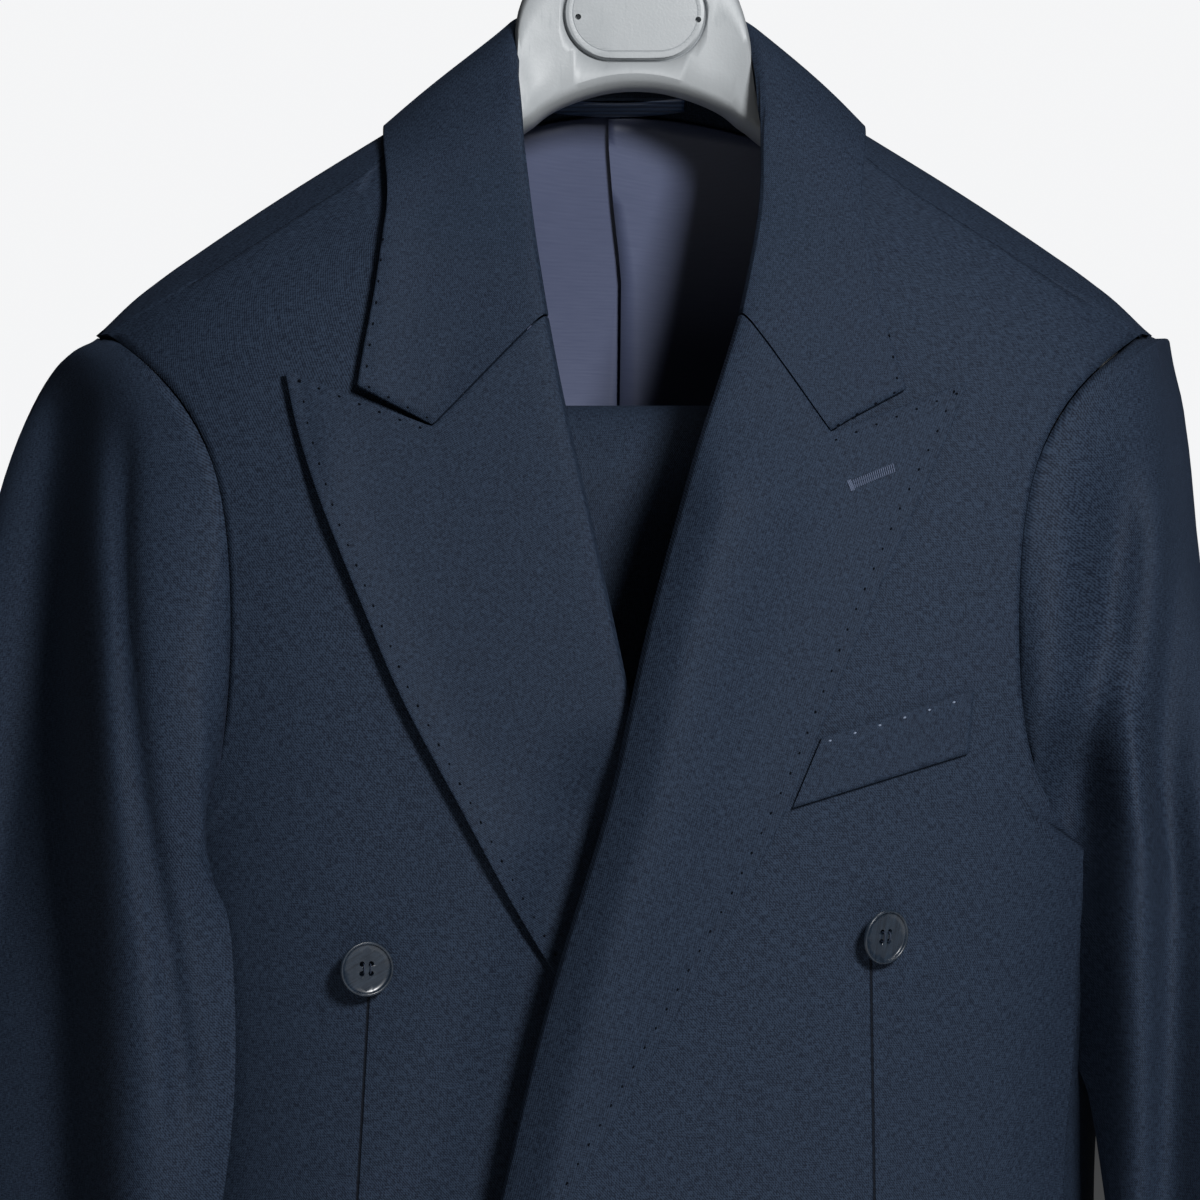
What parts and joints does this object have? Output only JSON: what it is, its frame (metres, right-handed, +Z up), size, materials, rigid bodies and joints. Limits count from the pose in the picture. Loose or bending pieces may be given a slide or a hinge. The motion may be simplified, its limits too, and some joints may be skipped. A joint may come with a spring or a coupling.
{
  "type": "two-piece suit on a hanger",
  "caption": "Double-breasted wool jacket with peaked lapels, hung on a broad hanger with its trousers folded over the bar inside.",
  "frame": {"origin": "the seat of the hanger's hook, where it rests on a rail", "axes": "+X to the wearer's left, the front of the suit faces -Y, +Z up"},
  "size_m": [0.5874, 0.2136, 0.9059],
  "materials": {
    "wool": "fine dark navy twill, matt",
    "lining": "slate blue lining with a soft sheen",
    "loop": "blue twill tape",
    "hanger": "light grey, satin",
    "plate": "light grey, satin",
    "steel": "bright wire",
    "flock": "dark, non-slip",
    "horn": "dark blue-grey horn, polished"
  },
  "bodies": {
    "root": {"back_left": "wool", "back_lining_left": "lining", "back_lining_right": "lining", "back_right": "wool", "breast_welt": "wool", "button_low_left": "horn", "button_low_right": "horn", "button_top_left": "horn", "button_top_right": "horn", "collar": "wool", "front_left": "wool", "front_right": "wool", "hanger_body": "hanger", "hanger_hook": "steel", "hanger_plate": "plate", "hanging_loop": "loop", "lapel_left": "wool", "lapel_right": "wool", "side_left": "wool", "side_right": "wool", "trouser_back_left": "wool", "trouser_back_right": "wool", "trouser_bar": "flock", "trouser_front_left": "wool", "trouser_front_right": "wool", "under_sleeve_left": "wool", "under_sleeve_right": "wool", "upper_sleeve_left": "wool", "upper_sleeve_right": "wool", "waistband_left": "wool", "waistband_right": "wool"}
  },
  "joints": []
}
